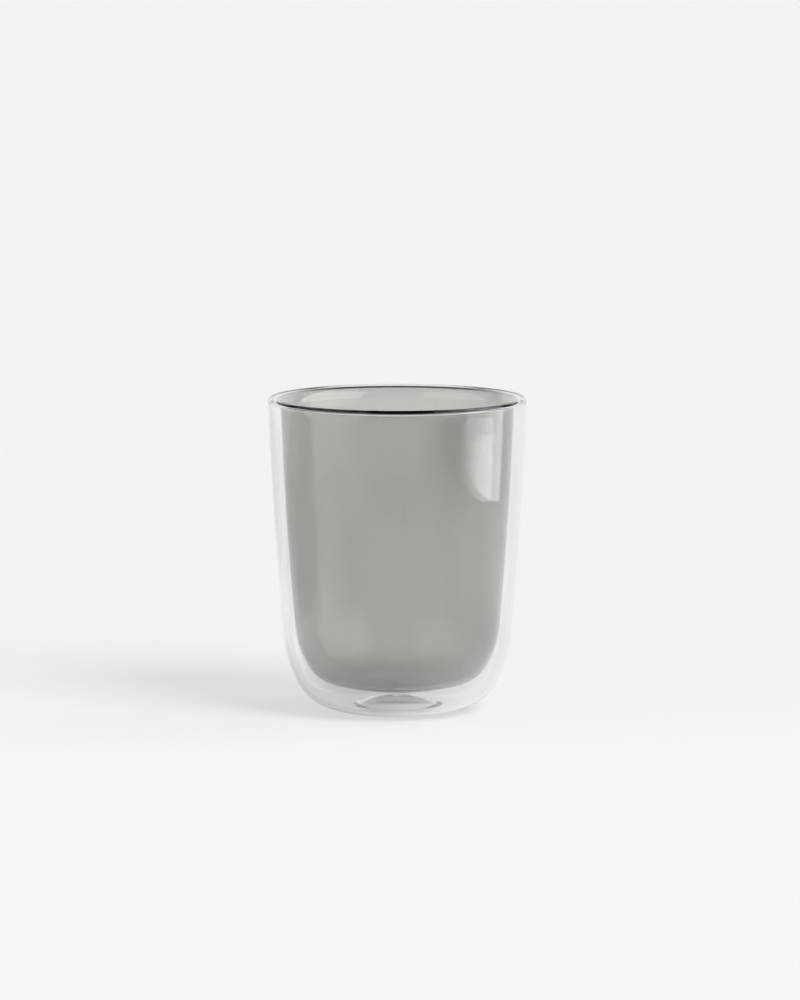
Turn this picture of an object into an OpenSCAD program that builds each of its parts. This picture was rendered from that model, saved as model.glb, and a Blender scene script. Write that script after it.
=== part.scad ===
// Double-walled cortado glass: a smoke-tinted cup hangs inside a clear shell.
// The two are fused at the lip, with still air between them, and the shell stands on a ring round its punt.
// Each piece is turned about the upright Z axis from a section whose points are [radius, height].
// The origin is the middle of the foot ring, on the table.

/* [Overall] */
// Width across the lip
rim_d = 74; // [64:0.5:84]
// Height from the table to the top of the lip
height = 90.25; // [76:0.25:106]

/* [Clear outer shell] */
// Thickness of the shell's wall
shell_t = 1; // [0.8:0.1:1.4]
// Lean of the wall from upright just under the lip, in degrees
shell_lean_top = 2.4; // [1.4:0.1:3.4]
// Lean of the wall at the bottom of its side, in degrees
shell_lean_low = 5; // [4.2:0.1:6]
// Radius of the heel's upper bend
heel_upper_r = 38; // [32:0.5:44]
// Lean of the wall where the upper bend ends, in degrees
heel_upper_lean = 26; // [22:0.5:30]
// Radius of the heel's middle bend, the tightest one
heel_middle_r = 14.6; // [12:0.2:17]
// Lean of the wall where the middle bend ends, in degrees
heel_middle_lean = 65; // [60:0.5:70]
// Radius of the heel's lower bend, which runs out level on the foot ring
heel_lower_r = 20.2; // [17:0.2:23]

/* [Foot and punt] */
// Width of the flat ring that meets the table
foot_w = 0.8; // [0.6:0.1:1.6]
// Radius that rounds the inner edge of the foot ring
foot_edge_r = 1.2; // [0.8:0.1:1.8]
// Height of the hollow that is pushed up under the base
punt_h = 2.9; // [2:0.1:3.8]
// Thickness of the glass over the punt
base_t = 1.5; // [1:0.1:2]
// Radius of the groove inside the shell, between the punt and the heel
groove_r = 3; // [2:0.1:4]

/* [Tinted inner cup] */
// Thickness of the cup's wall
cup_t = 1; // [0.7:0.1:1.3]
// Width of the air space between the two walls under the lip
air_gap = 2.7; // [2:0.1:3.4]
// Height of the air space between the base and the cup's floor
floor_gap = 1.2; // [0.9:0.1:2.4]
// Lean of the cup's wall from upright just under the flare, in degrees
cup_lean_top = 2; // [1:0.1:3]
// Lean of the cup's wall at the bottom of its side, in degrees
cup_lean_low = 5.3; // [4.5:0.1:6.2]
// Radius of the upper bend of the cup's bottom
bowl_upper_r = 26.6; // [22:0.2:31]
// Lean of the wall where that upper bend ends, in degrees
bowl_upper_lean = 31.9; // [28:0.1:36]
// Radius of the lower bend of the cup's bottom
bowl_lower_r = 10; // [8:0.2:12]
// Lean of the wall where the rounded floor starts, in degrees
bowl_lower_lean = 74.8; // [71:0.1:78]

/* [Fused lip] */
// Radius that rounds the lip
lip_r = 1.1; // [0.9:0.05:1.3]
// Radius of the flare that carries the cup's wall out to the lip, on its air side
flare_r = 3; // [2.5:0.1:3.6]
// Radius that rounds the top of the air space
gap_top_r = 0.35; // [0.2:0.05:0.5]
// How far the clear weld reaches round the flare from the lip, in degrees
weld_turn = 14; // [8:0.5:20]

/* [Vent] */
// Width of the vent hole in the middle of the punt
vent_d = 4; // [3:0.1:6]
// Rise of the glass drop that seals the vent, above the edge of the hole
drop_rise = 0.5; // [0.3:0.05:0.7]

/* [Hidden] */

// Straight steps along a side, and along each bend
side_steps = 12;
bend_steps = 10;
// Steps once round the axis
$fn = 180;

// Point at a distance and a direction from a centre
function polar(c, r, dir) = c + r * [cos(dir), sin(dir)];

// Direction from one point to another
function bearing(a, b) = atan2(b[1] - a[1], b[0] - a[0]);

// Where two circles cross, on the left of the way from the first centre to the second
function crossing(c1, r1, c2, r2) =
    let (d = norm(c2 - c1))
    let (along = (d * d + r1 * r1 - r2 * r2) / (2 * d))
    polar(c1, r1, bearing(c1, c2) + acos(along / r1));

// Points along an arc, without its last point, which starts the next stretch of the outline
function arc(c, r, start, end, steps = bend_steps) =
    [for (i = [0 : steps - 1]) polar(c, r, start + (end - start) * i / steps)];

// A wall is a row of bends, each [centre, radius of the outer face, lean at its top, lean at its bottom, steps].
// The outer face runs down the row, and the inner face runs up it at the wall's thickness.
function face_down(bends) =
    [for (b = bends) each arc(b[0], b[1], -b[2], -b[3], b[4])];
function face_up(bends, t) =
    [for (i = [len(bends) - 1 : -1 : 0]) let (b = bends[i]) each arc(b[0], b[1] - t, -b[3], -b[2], b[4])];

// Lip, and the side of the shell: one long arc, whose radius lets the heel end level on the table
lip_c = [rim_d / 2 - lip_r, height - lip_r];
shell_side_r = (lip_c[1] - lip_r * sin(shell_lean_top)
    + heel_upper_r * (sin(shell_lean_low) - sin(heel_upper_lean))
    + heel_middle_r * (sin(heel_upper_lean) - sin(heel_middle_lean))
    + heel_lower_r * (sin(heel_middle_lean) - 1)) / (sin(shell_lean_low) - sin(shell_lean_top));

// Centres of the shell's side and heel, each bend tangent to the one above it
shell_side_c = polar(lip_c, lip_r - shell_side_r, -shell_lean_top);
heel_upper_c = polar(shell_side_c, shell_side_r - heel_upper_r, -shell_lean_low);
heel_middle_c = polar(heel_upper_c, heel_upper_r - heel_middle_r, -heel_upper_lean);
heel_lower_c = polar(heel_middle_c, heel_middle_r - heel_lower_r, -heel_middle_lean);

// Foot ring and punt: the punt is part of a sphere that meets the rounded inner edge of the ring
foot_r = heel_lower_c[0];
foot_edge_c = [foot_r - foot_w, foot_edge_r];
punt_r = (foot_edge_c[0] * foot_edge_c[0] + punt_h * punt_h - 2 * foot_edge_r * punt_h) / (2 * punt_h);
punt_c = [0, punt_h - punt_r];
groove_c = crossing(heel_lower_c, heel_lower_r - shell_t - groove_r, punt_c, punt_r + base_t + groove_r);

// Vent hole, and the drop of glass in it
vent_r = vent_d / 2;
vent_low_dir = acos(vent_r / punt_r);
vent_high_dir = acos(vent_r / (punt_r + base_t));
vent_edge = polar(punt_c, punt_r + base_t, vent_high_dir);
drop_r = (vent_r * vent_r + drop_rise * drop_rise) / (2 * drop_rise);
drop_c = [0, vent_edge[1] + drop_rise - drop_r];

// Flare: its cup side runs into the lip, and its air side is rounded into the shell's inner face
flare_x = rim_d / 2 - shell_t - air_gap + flare_r * cos(cup_lean_top);
flare_reach = flare_r + cup_t - lip_r;
flare_c = [flare_x, lip_c[1] - sqrt(flare_reach * flare_reach - pow(lip_c[0] - flare_x, 2))];
gap_top_c = crossing(shell_side_c, shell_side_r - shell_t - gap_top_r, flare_c, flare_r - gap_top_r);
lip_dir = bearing(flare_c, lip_c);
gap_top_dir = bearing(flare_c, gap_top_c);

// The weld ends on the shell where the rounded top of the air space starts, and on the cup past the lip
weld_lean = -bearing(shell_side_c, gap_top_c);
weld_dir = max(lip_dir, gap_top_dir) + weld_turn;

// Side of the cup: one long arc, whose radius puts the floor at its height over the base
cup_floor_z = punt_h + base_t + floor_gap;
floor_slope = (1 - sin(bowl_lower_lean)) / cos(bowl_lower_lean);
bowl_start = flare_c + [-flare_r * cos(cup_lean_top), flare_r * sin(cup_lean_top)]
    + bowl_upper_r * [-cos(cup_lean_low), sin(cup_lean_low)]
    + (bowl_upper_r - bowl_lower_r) * [cos(bowl_upper_lean), -sin(bowl_upper_lean)];
cup_side_r = (cup_floor_z + bowl_lower_r + floor_slope * bowl_start[0] - bowl_start[1])
    / (sin(cup_lean_top) - sin(cup_lean_low) - floor_slope * (cos(cup_lean_low) - cos(cup_lean_top)));

// Centres of the cup's side and bottom, each bend tangent to the one above it, and the floor's on the axis
cup_side_c = polar(flare_c, -flare_r - cup_side_r, -cup_lean_top);
bowl_upper_c = polar(cup_side_c, cup_side_r - bowl_upper_r, -cup_lean_low);
bowl_lower_c = polar(bowl_upper_c, bowl_upper_r - bowl_lower_r, -bowl_upper_lean);
floor_r = bowl_lower_r + bowl_lower_c[0] / cos(bowl_lower_lean);
floor_c = [0, cup_floor_z + floor_r];

shell_bends = [
    [shell_side_c, shell_side_r, weld_lean, shell_lean_low, side_steps],
    [heel_upper_c, heel_upper_r, shell_lean_low, heel_upper_lean, bend_steps],
    [heel_middle_c, heel_middle_r, heel_upper_lean, heel_middle_lean, bend_steps]
];

cup_bends = [
    [cup_side_c, cup_side_r, cup_lean_top, cup_lean_low, side_steps],
    [bowl_upper_c, bowl_upper_r, cup_lean_low, bowl_upper_lean, bend_steps],
    [bowl_lower_c, bowl_lower_r, bowl_upper_lean, bowl_lower_lean, bend_steps],
    [floor_c, floor_r, bowl_lower_lean, 90, bend_steps]
];

// Smoke-tinted cup: down the outside from the flare to the floor, and up the inside again
module inner_cup() {
    color("dimgray", 0.6)
    rotate_extrude()
    polygon(concat(
        arc(flare_c, flare_r, weld_dir, 180 - cup_lean_top),
        face_down(cup_bends),
        [[0, cup_floor_z]],
        face_up(cup_bends, cup_t),
        arc(flare_c, flare_r + cup_t, 180 - cup_lean_top, weld_dir),
        [polar(flare_c, flare_r + cup_t, weld_dir)]
    ));
}

// Clear shell: down the outside to the foot ring, under the punt, up the vent hole and up the inside
module outer_shell() {
    color("azure", 0.35)
    rotate_extrude()
    polygon(concat(
        face_down(shell_bends),
        arc(heel_lower_c, heel_lower_r, -heel_middle_lean, -90),
        [[foot_r, 0]],
        arc(foot_edge_c, foot_edge_r, -90, bearing(foot_edge_c, punt_c)),
        arc(punt_c, punt_r, bearing(punt_c, foot_edge_c), vent_low_dir),
        [polar(punt_c, punt_r, vent_low_dir)],
        arc(punt_c, punt_r + base_t, vent_high_dir, bearing(punt_c, groove_c)),
        arc(groove_c, groove_r, bearing(groove_c, punt_c), bearing(heel_lower_c, groove_c)),
        arc(heel_lower_c, heel_lower_r - shell_t, bearing(heel_lower_c, groove_c), -heel_middle_lean),
        face_up(shell_bends, shell_t),
        [polar(shell_side_c, shell_side_r - shell_t, -weld_lean)]
    ));
}

// Clear fused ring of the lip, from the top edge of the shell over to the flared edge of the cup
module rim_weld() {
    color("whitesmoke", 0.5)
    rotate_extrude()
    polygon(concat(
        [polar(shell_side_c, shell_side_r, -weld_lean)],
        arc(lip_c, lip_r, -shell_lean_top, lip_dir),
        arc(flare_c, flare_r + cup_t, lip_dir, weld_dir, side_steps),
        [polar(flare_c, flare_r + cup_t, weld_dir)],
        arc(flare_c, flare_r, weld_dir, gap_top_dir),
        arc(gap_top_c, gap_top_r, gap_top_dir, -weld_lean),
        [polar(shell_side_c, shell_side_r - shell_t, -weld_lean)]
    ));
}

// Glass drop that fills the vent hole: flush with the punt below, and proud of the base above
module vent_seal() {
    color("lightcyan", 0.5)
    rotate_extrude()
    polygon(concat(
        arc(punt_c, punt_r, 90, vent_low_dir),
        [polar(punt_c, punt_r, vent_low_dir)],
        arc(drop_c, drop_r, bearing(drop_c, vent_edge), 90),
        [[0, drop_c[1] + drop_r]]
    ));
}

inner_cup();
outer_shell();
rim_weld();
vent_seal();
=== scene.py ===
"""A double-walled cortado glass in a pale studio: a smoke-tinted cup fused at its lip into a clear shell."""
import math

import bmesh
import bpy
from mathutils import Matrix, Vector


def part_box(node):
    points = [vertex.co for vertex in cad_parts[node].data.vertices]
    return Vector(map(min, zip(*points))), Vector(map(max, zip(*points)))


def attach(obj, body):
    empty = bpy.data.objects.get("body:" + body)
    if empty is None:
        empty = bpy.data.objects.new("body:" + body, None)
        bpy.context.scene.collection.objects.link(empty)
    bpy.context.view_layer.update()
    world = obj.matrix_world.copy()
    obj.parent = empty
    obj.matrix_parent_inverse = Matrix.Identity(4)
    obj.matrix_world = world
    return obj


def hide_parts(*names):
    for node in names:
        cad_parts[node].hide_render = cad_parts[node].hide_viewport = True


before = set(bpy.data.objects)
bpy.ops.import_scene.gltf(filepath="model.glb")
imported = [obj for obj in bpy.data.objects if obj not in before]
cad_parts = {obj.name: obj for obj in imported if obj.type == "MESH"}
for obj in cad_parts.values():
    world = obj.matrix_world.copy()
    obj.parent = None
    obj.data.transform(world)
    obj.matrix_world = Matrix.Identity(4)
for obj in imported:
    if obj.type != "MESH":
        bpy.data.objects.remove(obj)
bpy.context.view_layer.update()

# Sizes of the glass in millimetres, with the overall ones read from the frame
MM = 0.001
RIM_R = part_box("rim_weld")[1].x / MM
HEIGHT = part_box("rim_weld")[1].z / MM
CUP_FLOOR_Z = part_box("inner_cup")[0].z / MM
VENT_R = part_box("vent_seal")[1].x / MM
SHELL_T = 1.0
CUP_T = 1.0
BASE_T = 1.5
AIR_GAP = 2.7
LIP_R = 1.1
FLARE_R = 3.0
GAP_TOP_R = 0.35
FOOT_W = 0.8
PUNT_H = 2.9
GROOVE_R = 3.0

# Inner edge of the foot ring, rounder than the solid's, so that it draws no line in the base
FOOT_EDGE_R = 5.0

# Degrees round the flare, past the lip and the air gap's top, to the seam of clear and tinted glass
WELD_TURN = 14.0

# Bends of both walls from the lip down: outer radius in millimetres, and lean from upright at its end
SHELL_TOP_LEAN = 2.4
SHELL_LOW_LEAN = 5.0
HEEL_BENDS = [(38.0, 26.0), (14.6, 65.0), (20.2, 90.0)]
CUP_TOP_LEAN = 2.0
CUP_LOW_LEAN = 5.3
BOWL_BENDS = [(26.6, 31.9), (10.0, 74.8)]

# Fineness of the turned meshes, how far fused glasses lap at a seam, and how near points are merged
ARC_STEP_DEG = 3.0
ARC_STEP_MM = 1.6
TURN_STEPS = 224
SEAM_LAP = 0.02
MERGE_GAP = SEAM_LAP / 10
SHARP_DEG = 35.0

# Borosilicate: the colour that one wall of each glass lets through, and the share of that tint which
# lies at the faces, with the rest through the depth. The margin keeps the depth's colour just off black.
GLASS_IOR = 1.47
SMOKE_TINT = "#d5d4d2"
CLEAR_TINT = "#fafafa"
FACE_SHARE = 0.5
SOAK_MARGIN = 1.01

# Ripples that blowing leaves in the walls: width and depth in millimetres, and how smooth they are
SMOKE_RIPPLE_W = 14.0
CLEAR_RIPPLE_W = 18.0
RIPPLE_DEPTH = 0.002
RIPPLE_DETAIL = 1.0
RIPPLE_ROUGHNESS = 0.4

# Camera in metres, and its focal length in pixels of the 800 by 1000 picture
PICTURE_H = 1000
FOCAL_PX = 7040.4
SENSOR_H = 36.0
CAMERA_BACK = 2.0027
CAMERA_UP = 0.30627
CAMERA_RIGHT = 0.0008
CAMERA_TILT = math.radians(6.994)
CLIP_NEAR = 0.05
CLIP_FAR = 50.0

# Light bounces that the glass needs: crossings of its faces, and mirrorings
CROSSINGS = 24
MIRRORINGS = 12

# Diffuse depth under which a ray has met no matt surface yet
BEFORE_MATT = 0.5

# Floor in metres: half its width, its drop under the foot ring, and the depths between which its colour
# goes from front to back. The share of its light that is its own glow keeps the shadow on it pale.
FLOOR_REACH = 8.0
FLOOR_DROP = 0.03 * MM
FLOOR_FRONT = "#f7f6f3"
FLOOR_BACK = "#f4f2f0"
FLOOR_BLEND_Y = (-0.12, 0.1)
FLOOR_GLOW = 0.71

# Places between which the floor that the glass sees goes from shaded, at the left, to fully lit
LIT_SIDE_X = (-0.005, 0.02)

# Painted shade on the floor where the glass sees it: patches that it sees dimmer, as painted shadow under
# and close in front of the glass, and as painted shade further off. Each is its centre and its reaches,
# across and in depth, the share of the reach where its edge starts, and the share of light that it lacks.
# Below zero, the glass sees the floor brighter there, as painted light.
FLOOR_PAINTED_SHADE = [
    (0.38, -0.285, 0.3, 0.25, 0.2, 0.9),  # front right, nearly dark
    (0.25, 0.1, 0.15, 0.12, 0.5, -0.17),  # right, brighter
    (-0.38, 0.06, 0.27, 0.16, 0.85, 0.3),  # left, with a firm edge
    (-0.26, 0.4, 0.21, 0.38, 0.5, 0.12),  # back left
    (-0.25, -0.13, 0.2, 0.2, 0.3, 0.15),  # front left
    (-0.035, 0.0, 0.06, 0.07, 0.2, 0.15),  # under the left of the glass
    (0.0, 0.009, 0.0125, 0.008, 0.4, 0.4),  # under the back of the punt
    (0.0, -0.4, 0.4, 0.2, 0.5, 0.22),  # far in front
    (0.0, -0.05, 0.08, 0.035, 0.2, 0.35),  # close in front
]

# Dome: its share of the floor's light, the levels of the dark room and the pale backdrop that the glass
# shows, and the degrees, from straight behind and from level, over which the backdrop fades
DOME_SHARE = 0.28
DARK_ROOM = 0.05
BACKDROP_LEVEL = 0.9
BACKDROP_SIDES = (40, 55)
BACKDROP_TOP = (25, 40)

# What the faces of the two softboxes at the right have in common, in degrees and metres
SIDE_BOX = {"azimuth": 90, "slide": -0.039, "width": 0.272}
HIGH_BOX = {"azimuth": 78, "distance": 0.65}


def srgb(code):
    """Linear colour of an sRGB hex code."""
    parts = [int(code[i:i + 2], 16) / 255 for i in (1, 3, 5)]
    return [p / 12.92 if p <= 0.04045 else ((p + 0.055) / 1.055) ** 2.4 for p in parts]


def add_node(tree, kind, inputs=None, **settings):
    """Adds a node with its settings, and fills its inputs with values or with other nodes' outputs."""
    node = tree.nodes.new(kind)
    for name, value in settings.items():
        setattr(node, name, value)
    for name, value in (inputs or {}).items():
        if isinstance(value, bpy.types.NodeSocket):
            tree.links.new(value, node.inputs[name])
        else:
            node.inputs[name].default_value = value
    return node


def empty_material(name):
    """A new material and its node tree, without nodes."""
    material = bpy.data.materials.new(name)
    material.use_nodes = True
    material.node_tree.nodes.clear()
    return material, material.node_tree


def placed(name, data):
    """A new object in the scene."""
    thing = bpy.data.objects.new(name, data)
    bpy.context.collection.objects.link(thing)
    return thing


def sind(angle):
    """Sine of an angle in degrees."""
    return math.sin(math.radians(angle))


def cosd(angle):
    """Cosine of an angle in degrees."""
    return math.cos(math.radians(angle))


def polar(centre, radius, direction):
    """Point at a distance and a direction, in degrees, from a centre."""
    return centre + radius * Vector((cosd(direction), sind(direction)))


def bearing(a, b):
    """Direction in degrees from one point to another."""
    return math.degrees(math.atan2(b.y - a.y, b.x - a.x))


def crossing(c1, r1, c2, r2):
    """Where two circles cross, on the left of the way from the first centre to the second."""
    d = (c2 - c1).length
    along = (d * d + r1 * r1 - r2 * r2) / (2 * d)
    return polar(c1, r1, bearing(c1, c2) + math.degrees(math.acos(along / r1)))


def arc(centre, radius, start, end):
    """Points along an arc, without its last point, which starts the next stretch of the outline."""
    turn = abs(end - start)
    length = radius * math.radians(turn)
    steps = max(1, math.ceil(turn / ARC_STEP_DEG), math.ceil(length / ARC_STEP_MM))
    return [polar(centre, radius, start + (end - start) * i / steps) for i in range(steps)]


def wall(centre, radius, lean, bends):
    """Tangent bends below an arc of a wall: each one's centre, outer radius, and leans at top and bottom."""
    row = []
    for bend_r, end_lean in bends:
        centre = polar(centre, radius - bend_r, -lean)
        row.append((centre, bend_r, lean, end_lean))
        radius, lean = bend_r, end_lean
    return row


def face(bends, depth, upward):
    """Points along a wall's face at a depth under its outer one, going down or up the wall."""
    points = []
    for centre, radius, top, bottom in (reversed(bends) if upward else bends):
        start, end = (bottom, top) if upward else (top, bottom)
        points += arc(centre, radius - depth, -start, -end)
    return points


def drop_of(radii, leans):
    """Height that a row of bends comes down, from the leans between which each one turns."""
    return sum(r * (sind(b) - sind(a)) for r, a, b in zip(radii, leans, leans[1:]))


def shell_lines(lip_c):
    """Bends of the outer wall: a long side arc that lets the heel end on the foot ring, and the heel."""
    radii = [r for r, _ in HEEL_BENDS]
    heel_drop = drop_of(radii, [SHELL_LOW_LEAN] + [lean for _, lean in HEEL_BENDS])
    side_drop = lip_c.y - LIP_R * sind(SHELL_TOP_LEAN) - heel_drop
    side_r = side_drop / (sind(SHELL_LOW_LEAN) - sind(SHELL_TOP_LEAN))
    return wall(lip_c, LIP_R, SHELL_TOP_LEAN, [(side_r, SHELL_LOW_LEAN)] + HEEL_BENDS)


def cup_lines(flare_c):
    """Bends of the cup's wall: a long side arc, the bowl, and a floor that is round about the axis."""
    upper_r, upper_lean = BOWL_BENDS[0]
    lower_r, lower_lean = BOWL_BENDS[1]
    slope = (1 - sind(lower_lean)) / cosd(lower_lean)
    start = polar(flare_c, -FLARE_R, -CUP_TOP_LEAN)
    start = polar(polar(start, -upper_r, -CUP_LOW_LEAN), upper_r - lower_r, -upper_lean)
    fall = sind(CUP_TOP_LEAN) - sind(CUP_LOW_LEAN) - slope * (cosd(CUP_LOW_LEAN) - cosd(CUP_TOP_LEAN))
    side_r = (CUP_FLOOR_Z + lower_r + slope * start.x - start.y) / fall
    row = wall(flare_c, -FLARE_R, CUP_TOP_LEAN, [(side_r, CUP_LOW_LEAN)] + BOWL_BENDS)
    floor_r = lower_r + row[-1][0].x / cosd(lower_lean)
    return row + [(Vector((0, CUP_FLOOR_Z + floor_r)), floor_r, lower_lean, 90.0)]


# The lip and the flare, where the cup's wall turns out to meet the shell
lip_c = Vector((RIM_R - LIP_R, HEIGHT - LIP_R))
flare_x = RIM_R - SHELL_T - AIR_GAP + FLARE_R * cosd(CUP_TOP_LEAN)
flare_rise = math.sqrt((FLARE_R + CUP_T - LIP_R) ** 2 - (lip_c.x - flare_x) ** 2)
flare_c = Vector((flare_x, lip_c.y - flare_rise))
shell_bends = shell_lines(lip_c)
cup_bends = cup_lines(flare_c)
side_c, side_r = shell_bends[0][:2]
gap_top_c = crossing(side_c, side_r - SHELL_T - GAP_TOP_R, flare_c, FLARE_R - GAP_TOP_R)
lip_dir = bearing(flare_c, lip_c)
gap_top_dir = bearing(flare_c, gap_top_c)
weld_dir = max(lip_dir, gap_top_dir) + WELD_TURN

# The foot ring, the punt and the groove round it inside the shell
heel_c, heel_r = shell_bends[-1][:2]
foot_edge_c = Vector((heel_c.x - FOOT_W, FOOT_EDGE_R))
punt_r = (foot_edge_c.x ** 2 + PUNT_H ** 2 - 2 * FOOT_EDGE_R * PUNT_H) / (2 * PUNT_H)
punt_c = Vector((0, PUNT_H - punt_r))
base_r = punt_r + BASE_T
groove_c = crossing(heel_c, heel_r - SHELL_T - GROOVE_R, punt_c, base_r + GROOVE_R)
groove_dir = bearing(heel_c, groove_c)


def hole_dirs(hole_r):
    """Directions from the punt's centre to the edge of a hole at the axis, below and above the base."""
    return [math.degrees(math.acos(hole_r / r)) for r in (punt_r, base_r)]


def cup_section():
    """Outline of the tinted cup: from the seam down its outside to the floor, and up its inside again."""
    return (arc(flare_c, FLARE_R, weld_dir, 180 - CUP_TOP_LEAN)
            + face(cup_bends, 0, upward=False)
            + [Vector((0, CUP_FLOOR_Z))]
            + face(cup_bends, CUP_T, upward=True)
            + arc(flare_c, FLARE_R + CUP_T, 180 - CUP_TOP_LEAN, weld_dir)
            + [polar(flare_c, FLARE_R + CUP_T, weld_dir)])


def shell_section():
    """Outline of the clear shell and its fused lip: down outside, under the punt, up inside and over."""
    lap_dir = weld_dir + math.degrees(SEAM_LAP / FLARE_R)
    gap_side = -bearing(side_c, gap_top_c)
    inner_bends = [(side_c, side_r, gap_side, SHELL_LOW_LEAN)] + shell_bends[1:-1]
    vent_low_dir, vent_high_dir = hole_dirs(VENT_R)
    return (face(shell_bends, 0, upward=False)
            + [Vector((heel_c.x, 0))]
            + arc(foot_edge_c, FOOT_EDGE_R, -90, bearing(foot_edge_c, punt_c))
            + arc(punt_c, punt_r, bearing(punt_c, foot_edge_c), vent_low_dir)
            + [polar(punt_c, punt_r, vent_low_dir)]
            + arc(punt_c, base_r, vent_high_dir, bearing(punt_c, groove_c))
            + arc(groove_c, GROOVE_R, bearing(groove_c, punt_c), groove_dir)
            + arc(heel_c, heel_r - SHELL_T, groove_dir, -HEEL_BENDS[-2][1])
            + face(inner_bends, SHELL_T, upward=True)
            + arc(gap_top_c, GAP_TOP_R, -gap_side, gap_top_dir)
            + arc(flare_c, FLARE_R, gap_top_dir, lap_dir)
            + [polar(flare_c, FLARE_R, lap_dir)]
            + arc(flare_c, FLARE_R + CUP_T, lap_dir, lip_dir)
            + arc(lip_c, LIP_R, lip_dir, -SHELL_TOP_LEAN))


def drop_section():
    """Outline of the glass drop in the vent, melted flush with the punt below and the base above."""
    low_dir, high_dir = hole_dirs(VENT_R + SEAM_LAP)
    return (arc(punt_c, punt_r, 90, low_dir)
            + [polar(punt_c, punt_r, low_dir)]
            + arc(punt_c, base_r, high_dir, 90)
            + [polar(punt_c, base_r, 90)])


def turned_piece(name, section, material, nodes):
    """A section spun about the upright axis into one closed, smooth mesh that stands for CAD nodes."""
    bm = bmesh.new()
    ring = [bm.verts.new((max(p.x, 0) * MM, 0, p.y * MM)) for p in section]
    edges = [bm.edges.new((a, b)) for a, b in zip(ring, ring[1:] + ring[:1])]
    on_axis = [e for e in edges if all(v.co.x < MERGE_GAP * MM for v in e.verts)]
    bmesh.ops.delete(bm, geom=on_axis, context="EDGES_FACES")
    bmesh.ops.spin(bm, geom=bm.verts[:] + bm.edges[:], axis=(0, 0, 1), cent=(0, 0, 0),
                   angle=math.tau, steps=TURN_STEPS, use_merge=True)
    bmesh.ops.remove_doubles(bm, verts=bm.verts, dist=MERGE_GAP * MM)
    bmesh.ops.recalc_face_normals(bm, faces=bm.faces)
    for f in bm.faces:
        f.smooth = True
    mesh = bpy.data.meshes.new(name)
    bm.to_mesh(mesh)
    bm.free()
    mesh.set_sharp_from_angle(angle=math.radians(SHARP_DEG))
    mesh.materials.append(material)
    piece = placed(name, mesh)
    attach(piece, "root")
    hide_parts(*nodes)


def blown_glass(name, wall_tint, wall_t, ripple_w):
    """Blown and fire-polished borosilicate, tinted by the colour that one wall lets through."""
    material, tree = empty_material(name)
    colour = srgb(wall_tint)
    place = add_node(tree, "ShaderNodeTexCoord").outputs["Object"]
    ripple = add_node(tree, "ShaderNodeTexNoise", {
        "Vector": place, "Scale": 1 / (ripple_w * MM),
        "Detail": RIPPLE_DETAIL, "Roughness": RIPPLE_ROUGHNESS})
    bump = add_node(tree, "ShaderNodeBump", {
        "Height": ripple.outputs["Fac"], "Strength": 1.0, "Distance": RIPPLE_DEPTH * MM})
    surface = add_node(tree, "ShaderNodeBsdfPrincipled", {
        "Base Color": [c ** FACE_SHARE for c in colour] + [1],
        "Roughness": 0.0, "IOR": GLASS_IOR, "Transmission Weight": 1.0, "Normal": bump.outputs["Normal"]})
    soak = [-math.log(c) * (1 - FACE_SHARE) / (wall_t * MM) for c in colour]
    density = max(soak) * SOAK_MARGIN
    depth = add_node(tree, "ShaderNodeVolumeAbsorption", {
        "Color": [1 - s / density for s in soak] + [1], "Density": density})
    add_node(tree, "ShaderNodeOutputMaterial", {
        "Surface": surface.outputs["BSDF"], "Volume": depth.outputs["Volume"]})
    return material


# Smoke-tinted glass, blown: a see-through grey, darker where the eye looks along the wall, and mirror-smooth
smoke_glass = blown_glass("smoke_borosilicate_blown", SMOKE_TINT, CUP_T, SMOKE_RIPPLE_W)
# Clear glass, blown: all but colourless, seen by its gloss and by how its edges bend what is behind them
clear_glass = blown_glass("clear_borosilicate_blown", CLEAR_TINT, SHELL_T, CLEAR_RIPPLE_W)

turned_piece("smoke_cup", cup_section(), smoke_glass, ["inner_cup"])
turned_piece("clear_shell", shell_section(), clear_glass, ["outer_shell", "rim_weld"])
turned_piece("vent_drop", drop_section(), clear_glass, ["vent_seal"])


def outward(azimuth, elevation):
    """Direction from the glass, with the azimuth counted from the camera's side towards the right."""
    level = cosd(elevation)
    return Vector((sind(azimuth) * level, -cosd(azimuth) * level, sind(elevation)))


def seen_by_glass(tree):
    """Factors that are 1 for what the glass mirrors or lets through, and for that or the camera's view."""
    path = add_node(tree, "ShaderNodeLightPath").outputs
    first = add_node(tree, "ShaderNodeMath", {
        0: path["Diffuse Depth"], 1: BEFORE_MATT}, operation="LESS_THAN")
    either = add_node(tree, "ShaderNodeMath", {
        0: path["Is Glossy Ray"], 1: path["Is Transmission Ray"]}, operation="MAXIMUM")
    glass = add_node(tree, "ShaderNodeMath", {
        0: either.outputs["Value"], 1: first.outputs["Value"]}, operation="MULTIPLY")
    shown = add_node(tree, "ShaderNodeMath", {
        0: glass.outputs["Value"], 1: path["Is Camera Ray"]}, operation="MAXIMUM")
    return glass.outputs["Value"], shown.outputs["Value"]


def light_with_painted_shade(tree, place):
    """Share of the floor's light that the glass sees at each place, less the painted shade of the patches.
    """
    light = 1.0
    for x, y, reach_x, reach_y, edge, loss in FLOOR_PAINTED_SHADE:
        offset = add_node(tree, "ShaderNodeVectorMath", {0: place, 1: (x, y, 0)}, operation="SUBTRACT")
        scaled = add_node(tree, "ShaderNodeVectorMath", {
            0: offset.outputs["Vector"], 1: (1 / reach_x, 1 / reach_y, 0)}, operation="MULTIPLY")
        spread = add_node(tree, "ShaderNodeVectorMath", {0: scaled.outputs["Vector"]}, operation="LENGTH")
        patch = add_node(tree, "ShaderNodeMapRange", {
            "Value": spread.outputs["Value"], "From Min": edge, "From Max": 1.0,
            "To Min": 1 - loss, "To Max": 1.0}, interpolation_type="SMOOTHSTEP")
        light = add_node(tree, "ShaderNodeMath", {
            0: light, 1: patch.outputs["Result"]}, operation="MULTIPLY").outputs["Value"]
    return light


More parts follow.
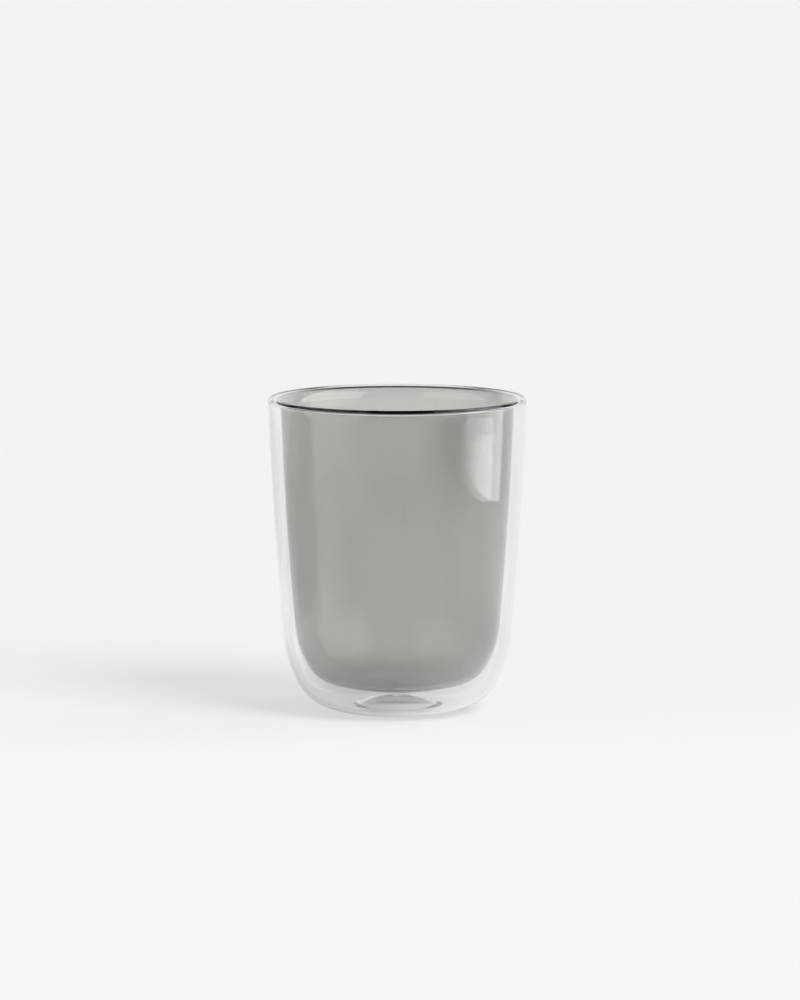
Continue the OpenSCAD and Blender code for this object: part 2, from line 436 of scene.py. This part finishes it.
def matt_paint():
    """Matt white paint, rolled: without gloss, with a glow of its own. The camera sees it even.

    Where the glass sees it, it has painted shade in patches, and at the right it is painted fully lit,
    without its shadow.
    """
    material, tree = empty_material("matt_white_paint")
    place = add_node(tree, "ShaderNodeNewGeometry").outputs["Position"]
    axes = add_node(tree, "ShaderNodeSeparateXYZ", {"Vector": place}).outputs
    glass, shown = seen_by_glass(tree)
    light = add_node(tree, "ShaderNodeMix", {
        "Factor": glass, "A": 1.0, "B": light_with_painted_shade(tree, place)}, data_type="FLOAT")
    depth = add_node(tree, "ShaderNodeMapRange", {
        "Value": axes["Y"], "From Min": FLOOR_BLEND_Y[0], "From Max": FLOOR_BLEND_Y[1]},
        interpolation_type="SMOOTHSTEP")
    white = add_node(tree, "ShaderNodeMix", {
        "Factor": depth.outputs["Result"], "A": srgb(FLOOR_FRONT) + [1], "B": srgb(FLOOR_BACK) + [1]},
        data_type="RGBA")
    tone = add_node(tree, "ShaderNodeVectorMath", {
        0: white.outputs["Result"], "Scale": light.outputs["Result"]}, operation="SCALE")
    paint = add_node(tree, "ShaderNodeBsdfPrincipled", {
        "Base Color": tone.outputs["Vector"], "Roughness": 1.0, "Specular IOR Level": 0.0})
    glow = add_node(tree, "ShaderNodeEmission", {"Color": tone.outputs["Vector"], "Strength": shown})
    # Painted light: at the right, the glass sees the floor by its glow alone, without its shadow
    lit_side = add_node(tree, "ShaderNodeMapRange", {
        "Value": axes["X"], "From Min": LIT_SIDE_X[0], "From Max": LIT_SIDE_X[1],
        "To Min": FLOOR_GLOW, "To Max": 1.0})
    glow_share = add_node(tree, "ShaderNodeMix", {
        "Factor": glass, "A": FLOOR_GLOW, "B": lit_side.outputs["Result"]}, data_type="FLOAT")
    both = add_node(tree, "ShaderNodeMixShader", {
        "Fac": glow_share.outputs["Result"], 1: paint.outputs["BSDF"], 2: glow.outputs["Emission"]})
    add_node(tree, "ShaderNodeOutputMaterial", {"Surface": both.outputs["Shader"]})
    return material


def studio_floor():
    """A wide matt table just under the foot ring."""
    mesh = bpy.data.meshes.new("studio_floor")
    sides = [(-1, -1), (1, -1), (1, 1), (-1, 1)]
    corners = [(x * FLOOR_REACH, y * FLOOR_REACH, -FLOOR_DROP) for x, y in sides]
    mesh.from_pydata(corners, [], [(0, 1, 2, 3)])
    mesh.materials.append(matt_paint())
    floor = placed("studio_floor", mesh)


def soft_sun(name, azimuth, elevation, spread, share):
    """A wide soft sun that gives a share of the floor's light and draws a shadow."""
    lamp = bpy.data.lights.new(name, "SUN")
    lamp.angle = math.radians(spread)
    lamp.energy = math.pi * share / sind(elevation)
    holder = placed(name, lamp)
    holder.rotation_euler = outward(azimuth, elevation).to_track_quat("Z", "Y").to_euler()
    holder.visible_glossy = False
    holder.visible_transmission = False


def diffuser_cloth(name, width, near, far, ramp):
    """Woven white diffuser cloth, lit from behind: an even glow, or one that grows along the width."""
    material, tree = empty_material(name)
    strength = near
    if far != near:
        place = add_node(tree, "ShaderNodeTexCoord").outputs["Object"]
        along = add_node(tree, "ShaderNodeSeparateXYZ", {"Vector": place}).outputs["X"]
        strength = add_node(tree, "ShaderNodeMapRange", {
            "Value": along, "From Min": -width / 2, "From Max": width * ramp - width / 2,
            "To Min": near, "To Max": far}).outputs["Result"]
    glow = add_node(tree, "ShaderNodeEmission", {"Color": (1, 1, 1, 1), "Strength": strength})
    add_node(tree, "ShaderNodeOutputMaterial", {"Surface": glow.outputs["Emission"]})
    return material


def card(name, azimuth, distance, width, bottom, tops, near, far, slide=0.0, ramp=1.0):
    """An upright glowing face that only the glass mirrors, with a top and a brightness for each of its ends.

    For a face at the right, the first or near end is the one by the camera, and it slides away from there.
    """
    half = width / 2
    mesh = bpy.data.meshes.new(name)
    corners = [(-half, bottom, 0), (half, bottom, 0), (half, tops[1], 0), (-half, tops[0], 0)]
    mesh.from_pydata(corners, [], [(0, 1, 2, 3)])
    mesh.materials.append(diffuser_cloth(name + "_cloth", width, near, far, ramp))
    holder = placed(name, mesh)
    holder.location = distance * outward(azimuth, 0) + slide * outward(azimuth + 90, 0)
    holder.rotation_euler = outward(azimuth, 0).to_track_quat("Z", "Y").to_euler()
    holder.visible_camera = False
    holder.visible_diffuse = False
    holder.visible_shadow = False


def studio_world():
    """An even dome that lights the floor. The glass shows a dark room with a pale backdrop behind it."""
    world = bpy.data.worlds.new("studio")
    bpy.context.scene.world = world
    world.use_nodes = True
    tree = world.node_tree
    tree.nodes.clear()
    way = add_node(tree, "ShaderNodeTexCoord").outputs["Generated"]
    axes = add_node(tree, "ShaderNodeSeparateXYZ", {"Vector": way}).outputs
    behind = add_node(tree, "ShaderNodeMapRange", {
        "Value": axes["Y"], "From Min": cosd(BACKDROP_SIDES[1]), "From Max": cosd(BACKDROP_SIDES[0])})
    low = add_node(tree, "ShaderNodeMapRange", {
        "Value": axes["Z"], "From Min": sind(BACKDROP_TOP[0]), "From Max": sind(BACKDROP_TOP[1]),
        "To Min": 1.0, "To Max": 0.0})
    sweep = add_node(tree, "ShaderNodeMath", {
        0: behind.outputs["Result"], 1: low.outputs["Result"]}, operation="MULTIPLY")
    room = add_node(tree, "ShaderNodeMapRange", {
        "Value": sweep.outputs["Value"], "To Min": DARK_ROOM, "To Max": BACKDROP_LEVEL})
    glass, shown = seen_by_glass(tree)
    pale = add_node(tree, "ShaderNodeMix", {
        "Factor": shown, "A": DOME_SHARE, "B": BACKDROP_LEVEL}, data_type="FLOAT")
    level = add_node(tree, "ShaderNodeMix", {
        "Factor": glass, "A": pale.outputs["Result"], "B": room.outputs["Result"]}, data_type="FLOAT")
    background = add_node(tree, "ShaderNodeBackground", {"Color": level.outputs["Result"], "Strength": 1.0})
    add_node(tree, "ShaderNodeOutputWorld", {"Surface": background.outputs["Background"]})


def photo_camera():
    """A long lens at the photograph's height and tilt."""
    camera = bpy.data.cameras.new("photo_camera")
    camera.sensor_fit = "VERTICAL"
    camera.sensor_height = SENSOR_H
    camera.lens = FOCAL_PX * SENSOR_H / PICTURE_H
    camera.clip_start = CLIP_NEAR
    camera.clip_end = CLIP_FAR
    holder = placed("photo_camera", camera)
    holder.location = (CAMERA_RIGHT, -CAMERA_BACK, CAMERA_UP)
    holder.rotation_euler = (math.pi / 2 - CAMERA_TILT, 0, 0)
    bpy.context.scene.camera = holder


studio_floor()
photo_camera()
studio_world()

# Two suns, whose shares of the floor's light make up one with the dome's
soft_sun("key_sun", azimuth=46, elevation=42, spread=32, share=0.6)
soft_sun("side_sun", azimuth=110, elevation=42, spread=32, share=0.12)

# A close softbox at the right in three faces, a high one behind it in two, and a card at the left
card("low_softbox", distance=0.337, bottom=0.0, tops=(0.021, 0.03), near=0.55, far=2.9, ramp=0.5, **SIDE_BOX)
card("side_softbox", distance=0.343, bottom=0.0, tops=(0.15, 0.15), near=1.1, far=2.9, **SIDE_BOX)
card("side_softbox_top", distance=0.335, bottom=0.067, tops=(0.15, 0.15), near=2.8, far=2.9, **SIDE_BOX)
card("high_softbox_foot", width=0.95, bottom=0.055, tops=(0.12, 0.12), near=2.0, far=2.0,
     slide=0.075, **HIGH_BOX)
card("high_softbox", width=1.1, bottom=0.12, tops=(1.2, 1.2), near=2.0, far=2.0, **HIGH_BOX)
card("left_card", azimuth=-65, distance=0.65, width=1.1, bottom=0.12, tops=(1.0, 1.0), near=1.0, far=1.0)

scene = bpy.context.scene
scene.view_settings.view_transform = "Standard"
scene.cycles.max_bounces = CROSSINGS
scene.cycles.transmission_bounces = CROSSINGS
scene.cycles.glossy_bounces = MIRRORINGS
